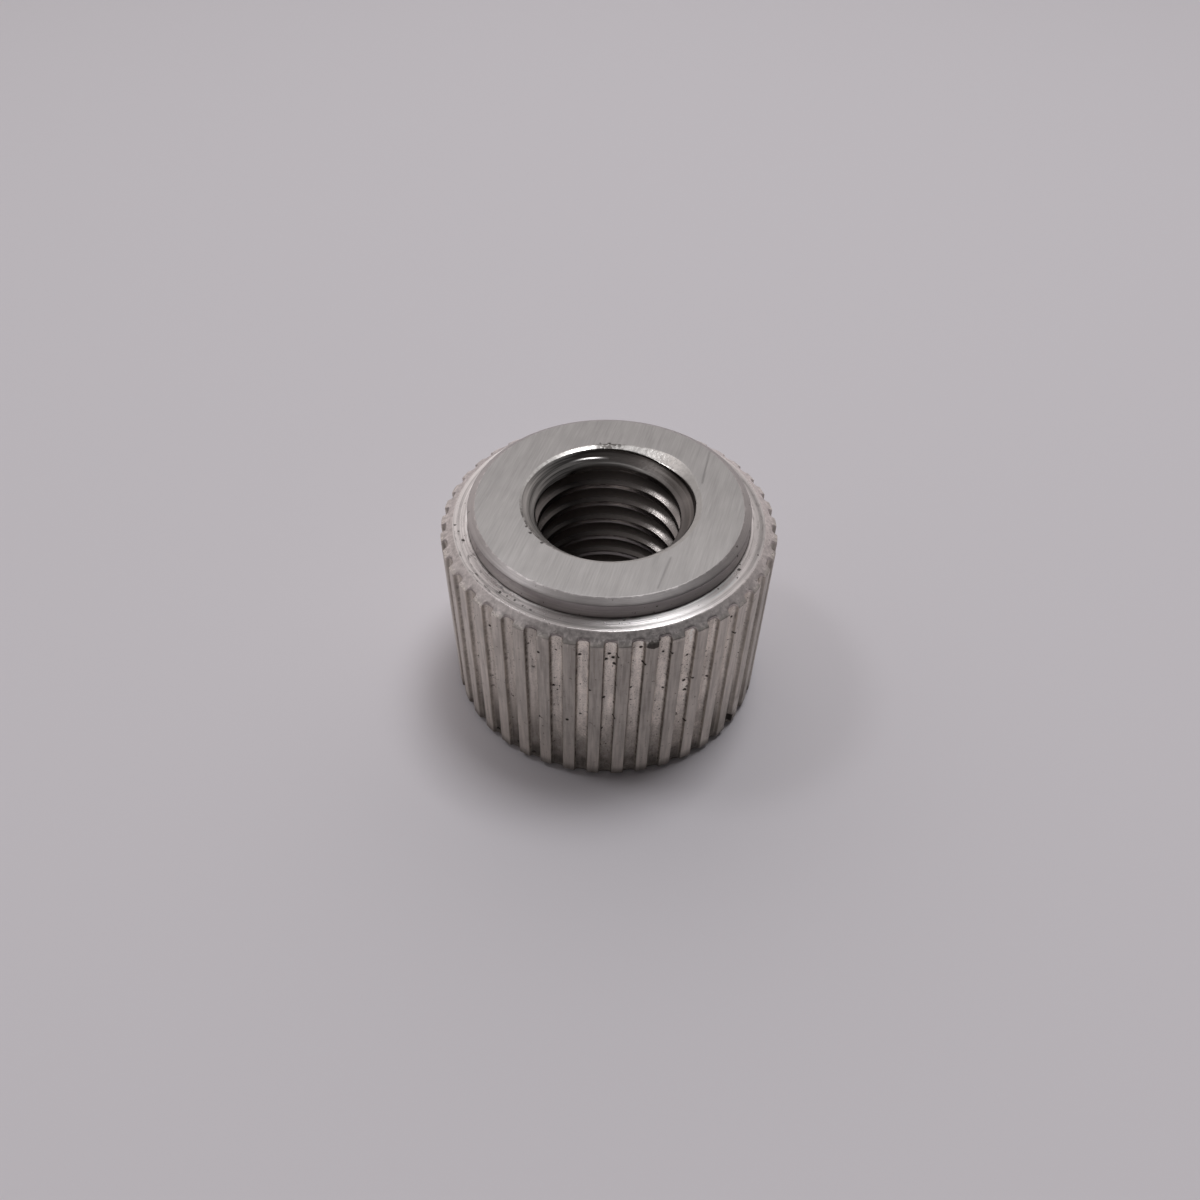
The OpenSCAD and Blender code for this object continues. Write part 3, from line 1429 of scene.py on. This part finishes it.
    def hole(self) -> Socket:
        """Tapped hole: rows that follow the helix, cut off by a countersink at each end.

        Returns:
            The mesh of the hole.
        """
        sector, columns = self.points("Flute Sector")
        turn_points, per_turn = self.points("Thread Turn")
        height, mouth_r, sectors = self.size("Height"), self.size("Mouth Radius"), self.size("Flute Count")
        per_sector = columns - 1
        all_rows = per_turn * self.size("Thread Turns") + 1
        mesh, column, row, _ = self.grid(per_sector * sectors + 1, all_rows)
        sector_number = column // per_sector
        local_angle, _, _ = self.row_of(sector, column - sector_number * per_sector)
        angle = sector_number * (FULL_TURN / sectors) + local_angle
        turn_number = row // per_turn
        share, _, thread_r = self.row_of(turn_points, row - turn_number * per_turn)
        down = turn_number + share - angle / FULL_TURN
        z = self.size("Thread Top") - down * self.size("Thread Pitch")
        z = self.least(self.most(z, 0.0), height)
        r = self.most(thread_r, mouth_r - (height - z), mouth_r - z)
        mesh = self.place(mesh, self.wrapped(r, angle, z))
        mesh = self.store(mesh, "bore", 1.0)
        return self.store(mesh, "zone", Zone.THREAD.value, "INT", "FACE")

    def scraped(self, skin: Socket) -> Socket:
        """Cuts the off-centre cone into the upper rim of the hole, and moves the hole's top row to it.

        Args:
            skin: the outside and the hole.

        Returns:
            The skin with its rim scraped.
        """
        x, y, z = self.split(self.position())
        angle = self.angle_of(x, y)
        height, mouth_r = self.size("Height"), self.size("Mouth Radius")
        slope = self.math("TANGENT", self.size("Rim Slope"))
        swing = self.math("COSINE", angle - self.size("Rim Direction"))
        dug = self.math("POWER", self.most(swing, 0.0), self.size("Rim Focus"))
        outer = self.size("Rim Radius") + self.size("Rim Offset") * swing + self.size("Rim Scrape") * dug
        outer = self.most(outer, mouth_r + self.size("Rim Least"))
        inner = (mouth_r - slope * outer) / (1 - slope)
        inner_z = height - (mouth_r - inner)
        share = self.named("rim") - 1
        r = outer - share * (outer - inner)
        rim_z = height - (outer - r) * slope
        on_rim = self.named("rim").above(0.5)
        in_hole = (self.named("bore") * z.above(inner_z)).above(0.5)
        move_r = on_rim * r + in_hole * inner
        move_z = on_rim * rim_z + in_hole * inner_z
        return self.place(skin, self.wrapped(move_r, angle, move_z), (on_rim + in_hole).above(0.5))

    def leant(self, skin: Socket) -> Socket:
        """Turns the skin a little as it rises, because the knurl leans.

        Args:
            skin: the upright skin.

        Returns:
            The skin with its lean.
        """
        position = self.position()
        _, _, z = self.split(position)
        turn = (z / self.size("Height") - 0.5) * self.size("Lean")
        inputs = {"Vector": position, "Angle": turn}
        return self.place(skin, self.call("ShaderNodeVectorRotate", 0, inputs, rotation_type="Z_AXIS"))

    def worn(self, skin: Socket) -> Socket:
        """Knocks nicks into the edges.

        Args:
            skin: the fresh skin.

        Returns:
            The worn skin.
        """
        nicks = self.noise(self.position(), self.NICK_SCALE, roughness=0.65).fade(0.45, 0.75)
        depth = self.named("exposed") * nicks * self.size("Wear Depth")
        normal = self.add("GeometryNodeInputNormal").outputs[0]
        inputs = {"Geometry": skin, "Offset": self.scaled(normal, -depth)}
        return self.call("GeometryNodeSetPosition", 0, inputs)

    def dressed(self, skin: Socket) -> Socket:
        """Sets the finish of each surface.

        Args:
            skin: the bare skin.

        Returns:
            The dressed skin.
        """
        for zone in Zone:
            pair = {self.COMPARE_FIRST: self.named("zone", "INT"), self.COMPARE_SECOND: zone.value}
            on_zone = self.call("FunctionNodeCompare", 0, pair, data_type="INT", operation="EQUAL")
            inputs = {"Geometry": skin, "Selection": on_zone, "Material": self.given[zone.finish]}
            skin = self.call("GeometryNodeSetMaterial", 0, inputs)
        return skin

    def build(self) -> bpy.types.NodeTree:
        """Joins the two skins, finishes them and ends the tree.

        Returns:
            The finished tree.
        """
        both = self.add("GeometryNodeJoinGeometry")
        for part in (self.outside(), self.hole()):
            self.feed(both.inputs[0], part)
        skin = self.scraped(both.outputs[0])
        inputs = {"Geometry": skin, "Distance": self.size("Merge Gap")}
        skin = self.call("GeometryNodeMergeByDistance", 0, inputs)
        skin = self.worn(self.leant(skin))
        skin = self.call("GeometryNodeSetShadeSmooth", 0, {0: skin})
        skin = self.call("GeometryNodeRealizeInstances", 0, {0: skin})
        for name in ("rim", "bore"):
            skin = self.call("GeometryNodeRemoveAttribute", 0, {"Geometry": skin, "Name": name})
        self.feed(self.add("NodeGroupOutput").inputs["Skin"], self.dressed(skin))
        return self.tree


@dataclass(frozen=True)
class Softbox:
    """A square lamp, by the direction that its light comes from.

    Attributes:
        name: the lamp's name.
        toward: direction from the nut to the lamp.
        distance: distance from the nut, in metres.
        size: length of its sides, in metres.
        power: strength in watts.
        colour: colour of its light.
    """

    name: str
    toward: Triple
    distance: float
    size: float
    power: float
    colour: Triple = (0.965, 0.985, 1.0)

    def place(self) -> None:
        """Puts the lamp in the scene, facing the nut."""
        lamp = bpy.data.lights.new(self.name, "AREA")
        lamp.size = self.size
        lamp.energy = self.power
        lamp.color = self.colour
        holder = new_object(self.name, lamp)
        direction = Vector(self.toward).normalized()
        holder.location = direction * self.distance
        holder.rotation_euler = direction.to_track_quat("Z", "Y").to_euler()


@dataclass(frozen=True)
class Studio:
    """Pale floor, soft lamps and an even sky. Lengths are in metres."""

    floor_colour: Triple = (0.7, 0.663, 0.697)
    floor_roughness: float = 0.7
    floor_gloss: float = 0.25
    floor_half: float = 1.5
    floor_gap: float = 0.02 * MM
    sky_colour: Triple = (1.0, 0.955, 0.945)
    sky_strength: float = 0.1
    sky_behind: float = 0.75
    sky_low: float = 0.22
    sky_left: float = 0.18
    lamps: tuple[Softbox, ...] = (
        Softbox("ceiling_lamp", (0.17, 0.2, 0.95), distance=0.6, size=0.19, power=1.26),
        Softbox("left_lamp", (-0.52, 0.12, 0.85), distance=0.6, size=0.1, power=0.28),
    )

    def build(self) -> None:
        """Builds the floor, the sky and the lamps."""
        mesh = bpy.data.meshes.new("floor")
        half = self.floor_half
        corners = [(-half, -half), (half, -half), (half, half), (-half, half)]
        mesh.from_pydata([(x, y, -self.floor_gap) for x, y in corners], [], [(0, 1, 2, 3)])
        material = bpy.data.materials.new("floor_paper")
        material.use_nodes = True
        surface = material.node_tree.nodes["Principled BSDF"].inputs
        surface["Base Color"].default_value = (*self.floor_colour, 1.0)
        surface["Roughness"].default_value = self.floor_roughness
        surface["Specular IOR Level"].default_value = self.floor_gloss
        mesh.materials.append(material)
        floor = new_object("floor", mesh)
        floor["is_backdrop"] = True
        bpy.context.scene.world = self.sky()
        for lamp in self.lamps:
            lamp.place()
        bpy.context.scene.view_settings.view_transform = "Standard"

    def sky(self) -> bpy.types.World:
        """Sky that grows brighter towards the back, the horizon and the left.

        Returns:
            The new world.
        """
        world = bpy.data.worlds.new("sky")
        world.use_nodes = True
        work = NodeWork(world.node_tree)
        x, y, z = work.split(work.add("ShaderNodeTexCoord").outputs["Generated"])
        low = self.sky_low * (1 - z) * (0.5 + 0.5 * y)
        level = self.sky_strength + self.sky_behind * work.most(y, 0.0) + low - self.sky_left * x
        background = world.node_tree.nodes["Background"].inputs
        background["Color"].default_value = (*self.sky_colour, 1.0)
        work.feed(background["Strength"], level)
        return world


@dataclass(frozen=True)
class PhotoCamera:
    """Camera at the photograph's viewing angle, in millimetres and degrees."""

    eye: Triple = (-1.0, -51.16, 59.77)
    turn: float = -0.5
    down: float = 46.23
    roll: float = 0.96
    focal_px: float = 949.0
    frame_px: float = 1200.0
    sensor: float = 36.0

    def place(self) -> None:
        """Puts the camera in the scene."""
        camera = bpy.data.cameras.new("photo_camera")
        camera.sensor_fit = "HORIZONTAL"
        camera.sensor_width = self.sensor
        camera.lens = self.sensor * self.focal_px / self.frame_px
        camera.clip_start = MM
        holder = new_object("photo_camera", camera)
        heading = Matrix.Rotation(math.radians(self.turn), 4, "Z")
        tilt = Matrix.Rotation(math.radians(90.0 - self.down), 4, "X")
        roll = Matrix.Rotation(math.radians(self.roll), 4, "Z")
        holder.matrix_world = Matrix.Translation(Vector(self.eye) * MM) @ heading @ tilt @ roll
        bpy.context.scene.camera = holder


def main() -> None:
    """Builds the nut, the studio and the camera."""
    logging.basicConfig(level=logging.INFO, format="%(message)s")
    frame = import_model()
    solid_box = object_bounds()
    piece = KnurledNut.from_frame(frame).build()
    LOG.info("%s: %d faces, %d points", piece.name, len(piece.data.polygons), len(piece.data.vertices))
    Studio().build()
    PhotoCamera().place()
    skin_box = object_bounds()
    sizes = {"solid": [list(c) for c in solid_box], "skin": [list(c) for c in skin_box]}


if __name__ == "__main__":
    main()
